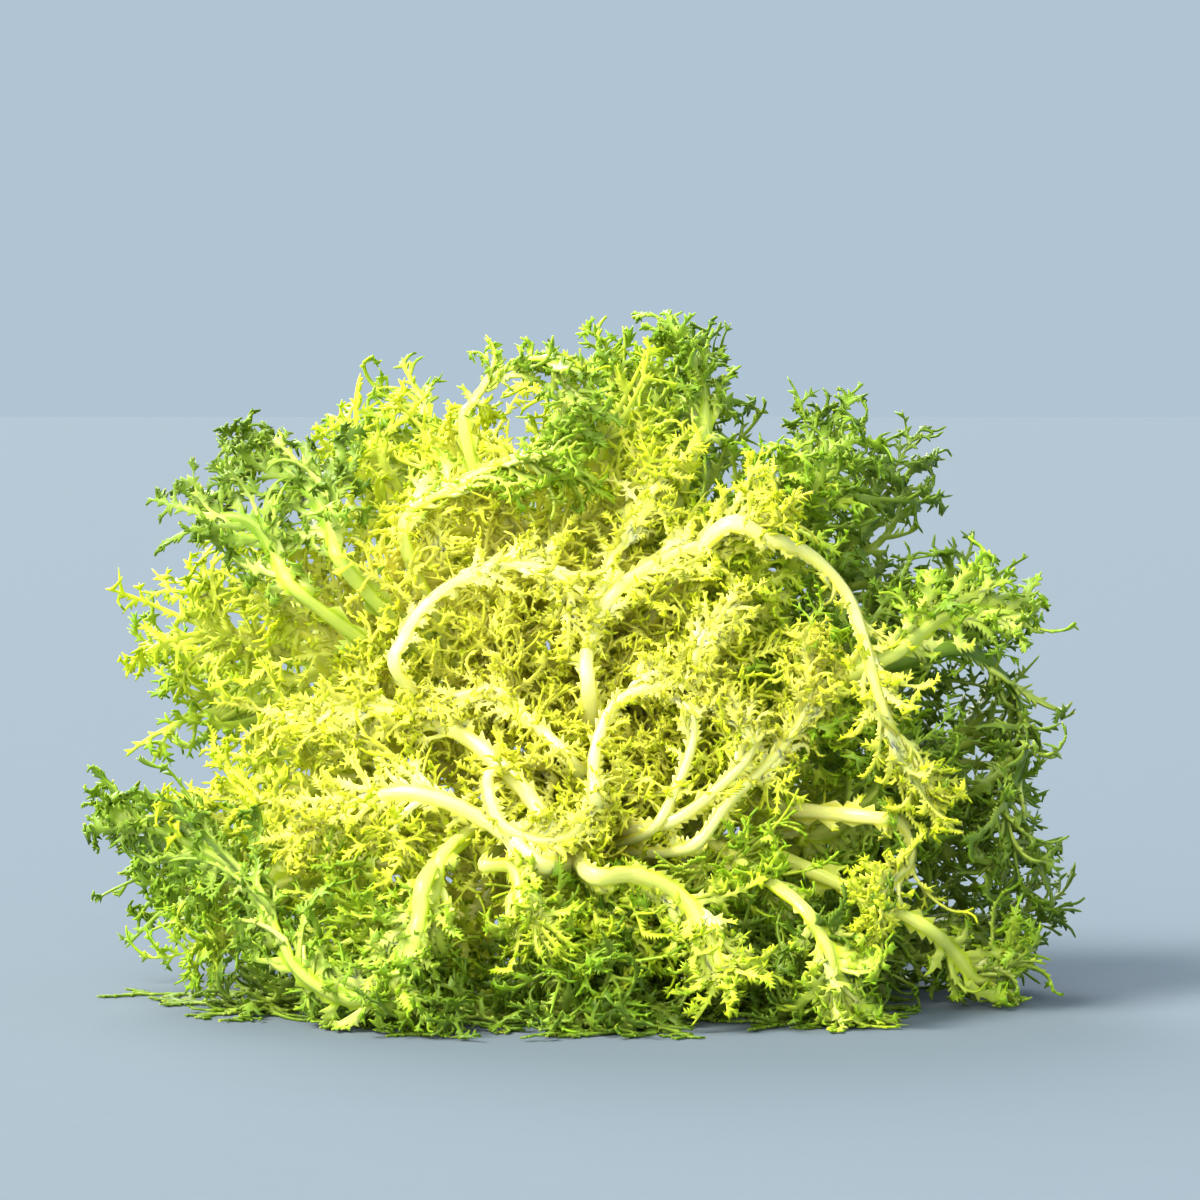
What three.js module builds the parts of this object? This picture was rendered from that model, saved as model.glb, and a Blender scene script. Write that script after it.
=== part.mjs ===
// A whole head of curly endive, cut from its root and laid on its side so that its heart faces forward (-Y).
// Every leaf is one closed solid that grows from a short stem. The leaves stand in whorls, and each whorl
// lies on its own bowl-shaped surface inside the one before it, so no two leaves meet. Where the floor is
// in the way the bowls flatten against it and stack, as the lower leaves of a real head do.
// Millimetres and degrees, +Z up, the origin on the floor under the middle of the head.
import * as THREE from "three";

// ---- The head ----
const AXIS_TILT = 30; // the head's axis above the floor
const CROWN = new THREE.Vector3(8, 44, 62); // the middle of the ball that the leaves grow from
const CROWN_RADIUS = 18;
const STEM_RADIUS = 15;
const STEM_LENGTH = 36; // from the middle of the crown to the cut
const LEAF_GAP = 0.8; // between a leaf's foot and the crown

// ---- The whorls, outermost first ----
// foot, open and tip are angles from the head's axis: at the crown, half way and at the leaf's end.
// top says how much further in a leaf stands when it points up, because the upper leaves are held upright.
// start is the side that its first leaf points to, counted from straight up towards +X.
const WHORLS = [
  { name: "outer", leaves: 11, start: 8, length: 152, width: 56, foot: 128, open: 104, tip: 98, top: 22 },
  { name: "second", leaves: 11, start: 25, length: 146, width: 54, foot: 108, open: 87, tip: 80, top: 16 },
  { name: "third", leaves: 10, start: 2, length: 132, width: 50, foot: 89, open: 70, tip: 64, top: 11 },
  { name: "fourth", leaves: 9, start: 20, length: 112, width: 44, foot: 70, open: 54, tip: 46, top: 6 },
  { name: "inner", leaves: 7, start: 5, length: 92, width: 34, foot: 51, open: 40, tip: 28, top: 3 },
  { name: "heart", leaves: 5, start: 33, length: 74, width: 22, foot: 32, open: 25, tip: 13, top: 0 },
  { name: "bud", leaves: 3, start: 80, length: 52, width: 11, foot: 13, open: 10, tip: 5, top: 0 },
];
const UNDER_REACH = 20; // how much further back the outer leaves go down where they lie under the head
const LEAF_SPREAD = 0.41; // a leaf's half width is never more than this share of its place in the whorl

// ---- A leaf ----
const STALK_SHARE = 0.3; // of the leaf's length, before the blade widens
const STALK_WIDTH = 0.15; // of the blade's width
const STALK_THICK = 3.2;
const BLADE_THICK = 1.5;
const RIB_SHARE = 0.3; // of the half width, where the thick rib ends
const LOBE_DEPTH = 0.34; // how far the notches between lobes cut into the blade
const WANDER = 0.44; // how far a leaf may stray into the free space beside its bowl
const SIDE_BEND = 13; // how far round the leaves' ends lean
const SIDE_STRETCH = 0.035; // of its length, that a leaf on the -X side is longer and one on +X shorter

// ---- The floor ----
const FLOOR_CLEARANCE = 0.9; // of the lowest leaves' middle surface, less than half a leaf's thickness
const STACK_GAP = 9; // between two leaves pressed on each other
const FOOT_GAP = 3.4; // the same, beside the crown
const GAP_GROWS_TO = 45; // the distance from the crown where the first becomes the second
const PRESS_SOFTNESS = 9; // how gradually a bowl flattens

const radians = THREE.MathUtils.degToRad;
const { lerp, clamp, smoothstep } = THREE.MathUtils;
const tilt = radians(AXIS_TILT);
const AXIS = new THREE.Vector3(0, -Math.cos(tilt), Math.sin(tilt));
const UPRIGHT = new THREE.Vector3(0, Math.sin(tilt), Math.cos(tilt));
const SIDEWAYS = new THREE.Vector3(1, 0, 0);

// A repeatable number from -1 to 1 that differs from leaf to leaf.
function chance(leaf, salt) {
  const wave = Math.sin(leaf * 12.9898 + salt * 78.233) * 43758.5453;
  return 2 * (wave - Math.floor(wave)) - 1;
}

function softMinimum(a, b) {
  const blend = Math.max(PRESS_SOFTNESS - Math.abs(a - b), 0) / PRESS_SOFTNESS;
  return Math.min(a, b) - (blend * blend * PRESS_SOFTNESS) / 4;
}

// A point at a distance from the crown's middle, at an angle from the axis, on the side that turn points to.
function place(distance, angle, turn) {
  const out = UPRIGHT.clone().multiplyScalar(Math.cos(radians(turn)));
  out.addScaledVector(SIDEWAYS, Math.sin(radians(turn)));
  return CROWN.clone()
    .addScaledVector(AXIS, distance * Math.cos(radians(angle)))
    .addScaledVector(out, distance * Math.sin(radians(angle)));
}

// The widest angle from the axis that stays above the floor.
function floorAngle(distance, turn) {
  const level = Math.cos(radians(turn)) * Math.cos(tilt);
  const reach = distance * Math.hypot(Math.sin(tilt), level);
  const drop = (FLOOR_CLEARANCE - CROWN.z) / reach;
  if (drop <= -1) return 180;
  const steepest = Math.atan2(level, Math.sin(tilt));
  return THREE.MathUtils.radToDeg(steepest + Math.acos(drop));
}

// The angle between two bowls that lie on each other.
function stackAngle(distance) {
  const gap = lerp(FOOT_GAP, STACK_GAP, smoothstep(distance, CROWN_RADIUS, GAP_GROWS_TO));
  return THREE.MathUtils.radToDeg(gap / distance);
}

// A whorl's bowl where nothing is in its way.
function freeAngle(whorl, distance, turn) {
  const along = distance / whorl.length;
  const upper = Math.max(0, Math.cos(radians(turn))) * whorl.top;
  const lower = Math.max(0, -Math.cos(radians(turn))) * UNDER_REACH * smoothstep(whorl.open, 70, 104);
  const opened = lerp(whorl.foot, whorl.open - upper + lower, smoothstep(along, 0.05, 0.5));
  return opened + (whorl.tip - whorl.open) * smoothstep(along, 0.45, 1);
}

// The bowls' angles at one place, outermost first, with the limit outside the first and the axis after the last.
function bowlAngles(distance, turn) {
  const angles = [Math.min(floorAngle(distance, turn), freeAngle(WHORLS[0], distance, turn) + 16)];
  for (const [level, whorl] of WHORLS.entries()) {
    const limit = level === 0 ? floorAngle(distance, turn) : angles[level] - stackAngle(distance);
    angles.push(softMinimum(freeAngle(whorl, distance, turn), limit));
  }
  angles.push(0);
  return angles;
}

// A point on a leaf's middle surface. stray moves it into the free space outside (+) or inside (-) its bowl.
function surfacePoint(level, distance, turn, stray) {
  const angles = bowlAngles(distance, turn);
  const own = angles[level + 1];
  const outside = level === 0 ? angles[0] : angles[level] - stackAngle(distance);
  const inside = angles[level + 2] + stackAngle(distance);
  const room = stray > 0 ? Math.max(0, outside - own) : Math.max(0, own - inside);
  return place(distance, own + clamp(stray, -WANDER, WANDER) * room, turn);
}

// How each leaf differs from its bowl: its length, its side bend, and how it strays and ruffles.
function leafShape(level, number) {
  const whorl = WHORLS[level];
  const seed = level * 17 + number + 1;
  const turn = whorl.start + ((number + 0.1 * chance(seed, 1)) * 360) / whorl.leaves;
  return {
    level,
    turn,
    length: whorl.length * (1 + 0.04 * chance(seed, 2) - SIDE_STRETCH * Math.sin(radians(turn))),
    width: whorl.width * (1 + 0.12 * chance(seed, 3)),
    bend: SIDE_BEND * Math.sin(radians(turn + 75 * level)) + 3 * chance(seed, 4),
    bulge: WANDER * chance(seed, 5),
    stray: WANDER * chance(seed, 6),
    ruffle: 0.2 + 0.08 * chance(seed, 7),
    phase: Math.PI * chance(seed, 8),
    stations: level < 4 ? 13 : 10,
  };
}

// The half width along a leaf: a narrow stalk, then a blade with lobes that ends in a point.
function halfWidth(leaf, along, station) {
  const blade = smoothstep(along, STALK_SHARE * 0.6, STALK_SHARE + 0.25);
  const point = Math.sqrt(Math.max(0, 1 - Math.pow(along, 5)));
  const lobe = 1 - LOBE_DEPTH * (station % 2) * blade;
  return 0.5 * leaf.width * lerp(STALK_WIDTH, 1, blade) * point * lobe;
}

// The six corners of a leaf's section: margin, upper rib, margin, lower rib.
function leafSection(leaf, station) {
  const along = station / leaf.stations;
  const distance = lerp(CROWN_RADIUS + LEAF_GAP, leaf.length, along);
  const half = halfWidth(leaf, along, station);
  const turn = leaf.turn + leaf.bend * along * along;
  const stray = leaf.bulge * Math.sin(Math.PI * along) + leaf.stray * along * along;
  const spine = (shift) => surfacePoint(leaf.level, distance + shift, turn, stray);
  const middle = spine(0);
  const radius = middle.clone().sub(CROWN).cross(AXIS).length();
  const share = (LEAF_SPREAD * 360) / WHORLS[leaf.level].leaves;
  const across = (offset) => {
    const swing = clamp(THREE.MathUtils.radToDeg(offset / radius), -share, share);
    const wave = leaf.ruffle * Math.sin(station * 2.3 + leaf.phase + (offset > 0 ? 1.7 : 0));
    const lifted = stray + wave * along * Math.min(1, Math.abs(offset) / half);
    return surfacePoint(leaf.level, distance, turn + swing, lifted);
  };
  const ribs = [-1, 1].map((side) => across(side * half * RIB_SHARE));
  const forward = spine(1).sub(spine(-1)).normalize();
  const sideways = ribs[1].clone().sub(ribs[0]).normalize();
  const thick = 0.5 * lerp(STALK_THICK, BLADE_THICK, smoothstep(along, 0.1, 0.75));
  const lift = sideways.cross(forward).normalize().multiplyScalar(thick);
  return [
    across(-half),
    ribs[0].clone().add(lift),
    ribs[1].clone().add(lift),
    across(half),
    ribs[1].clone().sub(lift),
    ribs[0].clone().sub(lift),
  ];
}

// Joins sections into one closed body that starts in a flat cap and ends in a point. The second half of a
// section's corners faces the first, and both sides are split along the same diagonals, so they never cross.
function closedBody(sections, end) {
  const corners = sections[0].length;
  const points = [...sections.flat(), end];
  const faces = [];
  for (let i = 1; i < corners - 1; i++) faces.push(0, i + 1, i);
  for (let row = 0; row < sections.length - 1; row++) {
    for (let i = 0; i < corners; i++) {
      const a = row * corners + i;
      const b = row * corners + ((i + 1) % corners);
      if (i < corners / 2) faces.push(a, b, a + corners, b, b + corners, a + corners);
      else faces.push(a, b, b + corners, a, b + corners, a + corners);
    }
  }
  const last = (sections.length - 1) * corners;
  for (let i = 0; i < corners; i++) faces.push(last + i, last + ((i + 1) % corners), points.length - 1);
  for (const point of points) point.z = Math.max(0, point.z);
  return new THREE.BufferGeometry().setFromPoints(points).setIndex(faces);
}

function leafMesh(level, number) {
  const leaf = leafShape(level, number);
  const sections = [];
  for (let station = 0; station < leaf.stations; station++) sections.push(leafSection(leaf, station));
  const end = surfacePoint(level, leaf.length, leaf.turn + leaf.bend, leaf.stray);
  const colour = new THREE.Color(0x6fa81e).lerp(new THREE.Color(0xf2ec6a), level / (WHORLS.length - 1));
  const material = new THREE.MeshStandardMaterial({ color: colour, roughness: 0.5, metalness: 0 });
  const mesh = new THREE.Mesh(closedBody(sections, end), material);
  mesh.name = `${WHORLS[level].name}_leaf_${String(number + 1).padStart(2, "0")}`;
  return mesh;
}

// The stem: a ball that the leaves grow from, on a short neck with a flat cut.
function stemMesh() {
  const neckAngle = Math.acos(-STEM_RADIUS * 0.93 / CROWN_RADIUS) - Math.PI / 2;
  const outline = new THREE.Path();
  outline.moveTo(0, -STEM_LENGTH);
  outline.lineTo(STEM_RADIUS - 1, -STEM_LENGTH);
  outline.lineTo(STEM_RADIUS, -STEM_LENGTH + 1);
  outline.absarc(0, 0, CROWN_RADIUS, -neckAngle, Math.PI / 2, false);
  const profile = outline.getPoints(8).map((p) => new THREE.Vector2(Math.max(0, p.x), p.y));
  profile[profile.length - 1].x = 0;
  const geometry = new THREE.LatheGeometry(profile, 20);
  const material = new THREE.MeshStandardMaterial({ color: 0xe9ecc4, roughness: 0.45, metalness: 0 });
  const mesh = new THREE.Mesh(geometry, material);
  mesh.name = "stem";
  mesh.position.copy(CROWN);
  mesh.quaternion.setFromUnitVectors(new THREE.Vector3(0, 1, 0), AXIS);
  return mesh;
}

const head = new THREE.Group();
head.add(stemMesh());
WHORLS.forEach((whorl, level) => {
  for (let number = 0; number < whorl.leaves; number++) head.add(leafMesh(level, number));
});

// The head stands with the middle of its footprint over the origin.
const middle = new THREE.Box3().setFromObject(head, true).getCenter(new THREE.Vector3());
head.position.set(-middle.x, -middle.y, 0);

export default head;
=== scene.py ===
"""A head of curly endive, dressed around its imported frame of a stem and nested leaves.

Each leaf grows along the midline of its frame leaf: a pale rib, a strip of undivided blade beside it,
and from the blade's edges the narrow lobes, their side prongs and their teeth, which curl as they grow.
The ribs that arch over the head's face grow in the same way, along routes of their own, and the short
stem is shaped from a cylinder, with a cut face at its end and the scars of lost leaves round its neck.
Lengths are in metres. A setting of two values holds the outermost leaves' first and the heart's second.
"""

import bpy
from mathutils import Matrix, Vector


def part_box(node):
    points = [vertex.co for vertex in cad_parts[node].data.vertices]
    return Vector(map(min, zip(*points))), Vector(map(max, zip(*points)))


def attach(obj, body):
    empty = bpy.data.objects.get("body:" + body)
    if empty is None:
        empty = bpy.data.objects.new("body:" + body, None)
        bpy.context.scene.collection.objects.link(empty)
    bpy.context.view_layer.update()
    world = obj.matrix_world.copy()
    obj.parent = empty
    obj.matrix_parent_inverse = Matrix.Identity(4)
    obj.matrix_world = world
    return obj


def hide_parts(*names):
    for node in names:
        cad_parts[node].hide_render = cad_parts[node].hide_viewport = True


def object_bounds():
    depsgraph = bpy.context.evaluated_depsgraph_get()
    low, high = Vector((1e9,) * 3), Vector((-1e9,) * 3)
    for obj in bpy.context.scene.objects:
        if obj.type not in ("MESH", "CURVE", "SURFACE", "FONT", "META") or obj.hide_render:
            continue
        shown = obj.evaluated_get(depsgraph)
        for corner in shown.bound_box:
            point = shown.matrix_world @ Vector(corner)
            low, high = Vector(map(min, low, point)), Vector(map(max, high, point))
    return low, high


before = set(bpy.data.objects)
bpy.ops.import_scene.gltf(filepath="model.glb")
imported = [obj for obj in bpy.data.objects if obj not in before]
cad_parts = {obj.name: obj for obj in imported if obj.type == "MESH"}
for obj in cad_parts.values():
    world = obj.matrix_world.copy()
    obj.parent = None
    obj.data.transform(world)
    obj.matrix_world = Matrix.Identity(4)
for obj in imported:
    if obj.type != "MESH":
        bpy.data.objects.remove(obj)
CAD_BOX = [list(corner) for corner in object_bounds()]

import math
import random
from typing import NamedTuple

import bmesh
import bpy
from bpy.props import FloatProperty, FloatVectorProperty, PointerProperty
from mathutils import Vector

bl_info = {
    "name": "Curly Endive Head",
    "version": (1, 0, 0),
    "blender": (4, 5, 0),
    "location": "3D View > Sidebar > Endive",
    "description": "Grows a head of curly endive around its frame of a stem and nested leaves",
    "category": "Add Mesh",
}

MM = 0.001
SEED = 20260

# The whorls from the outermost to the one in the middle, the names their frame leaves start with, and how
# green they are.
WHORLS = ("outer", "second", "third", "fourth", "inner", "heart", "bud")
GREENNESS = (0.85, 0.67, 0.48, 0.28, 0.1, 0.0, 0.0)
GREEN_PLAY = 0.05
PAINTED_SHADE_SLOPE = Vector((2.2, 0.0, -1.8))  # painted shade: greener, so darker, per metre a leaf ends right of or below the crown


# ---- Settings ----


def outer_and_heart(name, description, outer, heart, **kind):
    """A setting that runs from the outermost leaves to the heart."""
    text = f"{description}, in the outermost leaves and in the heart"
    return FloatVectorProperty(name=name, description=text, size=2, default=(outer, heart), **kind)


def millimetres(name, description, outer, heart):
    return outer_and_heart(name, description, outer * MM, heart * MM, unit="LENGTH", precision=5)


def degrees(name, description, outer, heart):
    return outer_and_heart(name, description, math.radians(outer), math.radians(heart), unit="ROTATION")


def colour(name, description, red, green, blue):
    return FloatVectorProperty(
        name=name, description=description, subtype="COLOR", size=3, min=0, max=1, default=(red, green, blue)
    )


class ENDIVE_LeafSizes(bpy.types.PropertyGroup):
    rib_foot: millimetres("Rib at foot", "Width of the rib where it leaves the stem", 8.5, 5)
    rib_tip: millimetres("Rib at tip", "Width of the rib at the leaf's end", 1.8, 1)
    rib_thickness: millimetres("Rib thickness", "Thickness of the rib at its foot", 4.2, 3.4)
    blade_thickness: millimetres("Blade thickness", "Thickness of the blade and its lobes", 0.7, 0.6)
    web: millimetres("Undivided blade", "Width of the blade between the rib and the lobes", 3.4, 0.3)
    lobe_pitch: millimetres("Lobe pitch", "Distance between places where a lobe may start", 4.2, 2.3)
    lobe_width: millimetres("Lobe width", "Width of a lobe past its base", 3.3, 1.1)
    lobe_step: millimetres("Lobe step", "Distance between places where a prong may start", 2.2, 1.4)
    shortest_reach: millimetres("Shortest lobe", "Least reach of a lobe in the blade's middle", 25, 20)
    tooth: millimetres("Tooth", "Length of a tooth", 2.6, 1.6)
    lift: degrees("Lobe lift", "How far lobes start out of the leaf's surface, up and down", 42, 40)
    curl: degrees("Lobe curl", "How far a lobe curls along its length", 140, 150)
    sway: degrees("Lobe sway", "How far a lobe bends sideways along its length", 85, 75)
    twist: degrees("Lobe twist", "How far a lobe twists along its length", 85, 100)
    lobed: outer_and_heart("Lobed share", "Share of the places that carry a lobe", 0.72, 0.7)
    forked: outer_and_heart(
        "Forked share", "Share of the places where a pale branch leaves the rib", 0.07, 0.05
    )
    pronged: outer_and_heart("Pronged share", "Share of a lobe's places that carry a prong", 0.27, 0.34)
    toothed: outer_and_heart("Toothed share", "Share of the free places that carry a tooth", 0.3, 0.4)
    wave: millimetres("Rib wave", "How far the rib wanders from the frame leaf's middle", 7.0, 4.0)
    bow: millimetres("Rib bow", "How far a leaf's end may lean in over the heart", 12, 9)


class ENDIVE_Colours(bpy.types.PropertyGroup):
    heart: colour("Heart blade", "Blade in the heart", 1.0, 0.90, 0.10)
    lime: colour("Middle blade", "Blade of the middle leaves", 0.65, 0.76, 0.008)
    green: colour("Green blade", "Blade of the outer leaves", 0.22, 0.41, 0.003)
    # The dark blade is the outer leaves' own edge colour and also the painted shade on the right and lower
    # sides.
    dark: colour("Dark blade", "Blade at the outermost edges", 0.08, 0.17, 0.002)
    rib_white: colour("Rib", "Ribs near the heart", 0.99, 0.96, 0.40)
    rib_green: colour("Green rib", "Ribs of the outermost leaves", 0.50, 0.68, 0.05)
    stem: colour("Stem", "Skin of the stem", 0.80, 0.80, 0.50)
    cut: colour("Cut", "Browned face of the cut stem", 0.42, 0.25, 0.10)
    floor: colour("Floor", "The floor under the head", 0.152, 0.191, 0.231)


class ENDIVE_Settings(bpy.types.PropertyGroup):
    sizes: PointerProperty(type=ENDIVE_LeafSizes)
    colours: PointerProperty(type=ENDIVE_Colours)
    camera_distance: FloatProperty(
        name="Camera distance", description="From the camera to the crown's plane", default=2.0, unit="LENGTH"
    )
    camera_rise: FloatProperty(
        name="Camera rise",
        description="How far the camera looks down",
        default=math.radians(3),
        subtype="ANGLE",
    )
    camera_lens: FloatProperty(
        name="Camera lens", description="Focal length on a 36 mm sensor", default=187, unit="CAMERA"
    )


# ---- Materials ----

# How often a pattern repeats in a metre: patches on the blade, fine grain, and strands across and along ribs.
MOTTLE_SCALE = 140
GRAIN_SCALE = 900
STRAND_SCALE = (2200, 90, 1)
DIM_LEAF = (0.72, 0.74, 0.70)  # what the dullest tissue's colour is multiplied by


class Value:
    """An output of a material's node. Arithmetic on it adds Math nodes."""

    def __init__(self, paint, socket):
        self.paint = paint
        self.socket = socket

    def maths(self, operation, first, second):
        return self.paint.node("ShaderNodeMath", {"operation": operation}, {0: first, 1: second})

    def __add__(self, other):
        return self.maths("ADD", self, other)

    __radd__ = __add__

    def __sub__(self, other):
        return self.maths("SUBTRACT", self, other)

    def __rsub__(self, other):
        return self.maths("SUBTRACT", other, self)

    def __mul__(self, other):
        return self.maths("MULTIPLY", self, other)

    __rmul__ = __mul__


class Paint:
    """A material and the nodes that make it."""

    def __init__(self, name):
        self.material = bpy.data.materials.new(name)
        self.material.use_nodes = True
        self.tree = self.material.node_tree
        self.tree.nodes.clear()

    def node(self, kind, settings=None, inputs=None, output=0, stops=None):
        made = self.tree.nodes.new(kind)
        for name, value in (settings or {}).items():
            setattr(made, name, value)
        if stops:
            ramp = made.color_ramp
            while len(ramp.elements) < len(stops):
                ramp.elements.new(1)
            for element, (place, shade) in zip(ramp.elements, stops):
                element.position = place
                element.color = (*shade, 1)
        for name, value in (inputs or {}).items():
            if isinstance(value, Value):
                self.tree.links.new(value.socket, made.inputs[name])
            else:
                made.inputs[name].default_value = value
        return Value(self, made.outputs[output])

    def mix(self, factor, first, second, way="MIX"):
        settings = {"data_type": "RGBA", "blend_type": way}
        shades = {0: factor, 6: opaque(first), 7: opaque(second)}
        return self.node("ShaderNodeMix", settings, shades, output=2)

    def noise(self, place, scale, detail=2.0):
        return self.node("ShaderNodeTexNoise", None, {"Vector": place, "Scale": scale, "Detail": detail})

    def clamp(self, value, low=0.0, high=1.0):
        return self.node("ShaderNodeClamp", None, {"Value": value, "Min": low, "Max": high})

    def finish(self, shader):
        output = self.tree.nodes.new("ShaderNodeOutputMaterial")
        self.tree.links.new(shader.socket, output.inputs["Surface"])
        return self.material


def opaque(shade):
    return shade if isinstance(shade, Value) else (*shade, 1)


def leaf_material(colours):
    """Blade and rib in one: the points' "tissue" says how much rib, how green, and how light."""
    paint = Paint("endive_leaf")
    tissue = paint.node("ShaderNodeAttribute", {"attribute_name": "tissue"})
    rib, green, light = (
        paint.node("ShaderNodeSeparateColor", None, {0: tissue}, output=channel) for channel in range(3)
    )
    place = paint.node("ShaderNodeTexCoord", output="Object")
    mottle = paint.noise(place, MOTTLE_SCALE)
    grain = paint.noise(place, GRAIN_SCALE)
    along = paint.node("ShaderNodeUVMap", {"uv_map": "growth"})
    stretch = paint.node("ShaderNodeMapping", None, {"Vector": along, "Scale": STRAND_SCALE})
    strands = paint.noise(stretch, 1.0, 3.0)
    # Ripeness and painted shade: the extra green of the right and lower leaves takes their blade towards the
    # dark stop.
    ripeness_and_shade = paint.clamp(green + (mottle - 0.5) * 0.35)
    stops = (
        (0.0, tuple(colours.heart)),
        (0.36, tuple(colours.lime)),
        (0.72, tuple(colours.green)),
        (1.0, tuple(colours.dark)),
    )
    blade = paint.node("ShaderNodeValToRGB", None, {0: ripeness_and_shade}, stops=stops)
    rib_shade = paint.mix(ripeness_and_shade * 0.75, colours.rib_white, colours.rib_green)
    rib_shade = paint.mix(paint.clamp((strands - 0.45) * 1.6) * 0.3, rib_shade, colours.lime)
    base = paint.mix(rib, blade, rib_shade)
    base = paint.mix(1.0, base, paint.mix(light, DIM_LEAF, (1.0, 1.0, 1.0)), "MULTIPLY")
    relief = strands * rib * 1.4 + grain * 0.35 + mottle * 0.4
    bump = paint.node("ShaderNodeBump", None, {"Strength": 0.45, "Distance": 0.0006, "Height": relief})
    skin = {
        "Base Color": base,
        "Roughness": 0.46 - rib * 0.16 + (grain - 0.5) * 0.16,
        "Specular IOR Level": 0.24,
        "Coat Weight": rib * 0.35,
        "Coat Roughness": 0.22,
        "Subsurface Weight": 1.0,
        "Subsurface Radius": (1.0, 0.9, 0.35),
        "Subsurface Scale": 0.0012,
        "Normal": bump,
    }
    return paint.finish(paint.node("ShaderNodeBsdfPrincipled", None, skin))


# ---- Growing ----

# A full lobe carries prongs with prongs of their own, a plain lobe carries prongs with teeth only.
PLAIN_LOBE = 1
FULL_LOBE = 2

# For a bare prong, a plain lobe and a full lobe: the size of its steps, how far it bends, how many prongs.
STEP_SIZE = (0.72, 0.85, 1.0)
BEND = (0.35, 0.55, 1.0)
PRONGED = (0.0, 0.6, 1.0)

LEAST_CURL = 0.2  # of a lobe's full curl
CURL_AT_FOOT = 0.2  # the curl's rate at a lobe's foot, and how much it gains on the way to the tip
CURL_GAIN = 2.4
LOBE_TAPER = 0.7  # of its width, which a lobe loses on the way to its tip
FILLET = 0.25  # of the edge beyond a lobe's width, which widens each side of its foot
RIB_BODY = 0.8  # how much thicker a lobe's foot is where it is all rib
RIB_FADE = 0.85  # how much of its rib colour a lobe loses, and how much greener it gets
RIPENING = 0.14
FIRST_PRONG = (0.05, 0.4)  # where a full lobe's prongs and teeth begin, and where they are all there
PRONG_ANGLE = (38, 76)  # degrees
PRONG_REACH = (0.14, 0.4)  # of the length of the lobe that it leaves
PRONG_WIDTH = 0.62
SHORTER = 0.4  # how much shorter the prongs are near a lobe's tip
PRONG_TOOTH = (0.6, 1.2)  # of a tooth's length
TIP_LENGTH = 0.9  # of a step
TIP_THICKNESS = 0.7


def turned(first, second, angle):
    """Two directions at right angles, turned in their plane from the first towards the second."""
    return (
        first * math.cos(angle) + second * math.sin(angle),
        second * math.cos(angle) - first * math.sin(angle),
    )


class Bud:
    """A growing point: where it is, which way it grows, and which way its upper side faces."""

    def __init__(self, place, forward, up):
        self.place = place
        self.forward = forward
        self.up = up
        self.side = forward.cross(up)

    def turn(self, curl, sway, twist):
        """Curls towards the upper side, sways to the right and twists."""
        self.forward, self.up = turned(self.forward, self.up, curl)
        self.forward, self.side = turned(self.forward, self.side, sway)
        self.up, self.side = turned(self.up, self.side, twist)

    def advance(self, length):
        self.place = self.place + self.forward * length

    def branch(self, place, sign, angle, lift):
        """A new growing point that leaves to one side at an angle from the way this one grows."""
        made = Bud(place, self.forward, self.up)
        made.turn(0, sign * angle, 0)
        made.turn(lift, 0, 0)
        return made


class Tissue:
    """The points and faces of one leaf while it grows.

    A tint says how much a point belongs to the rib, how green it is and how light.
    """

    def __init__(self):
        self.points = []
        self.faces = []
        self.tints = []
        self.thickness = []
        self.growth = []

    def point(self, place, tint, thickness, across, along):
        self.points.append(place)
        self.tints.append(tint)
        self.thickness.append(thickness)
        self.growth.append((across, along))
        return len(self.points) - 1

    def middle(self, first, second):
        """The place halfway between two points."""
        return (self.points[first] + self.points[second]) * 0.5


def smooth(value, low, high):
    """Runs from 0 at the low value to 1 at the high one, without a corner."""
    share = min(1.0, max(0.0, (value - low) / (high - low)))
    return share * share * (3 - 2 * share)


def blend(first, second, share):
    return first + (second - first) * share


def either_way(rng, size):
    return rng.uniform(-size, size)


def tooth(tissue, bud, sign, left, right, length, tint, thickness):
    """One pointed face on a free edge."""
    lean = bud.side * (sign * 0.8) + bud.forward * 0.6
    tip = tissue.middle(left, right) + lean * length
    across, along = tissue.growth[left]
    point = tissue.point(tip, tint, thickness, across + sign * length, along)
    tissue.faces.append((left, right, point))


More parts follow.
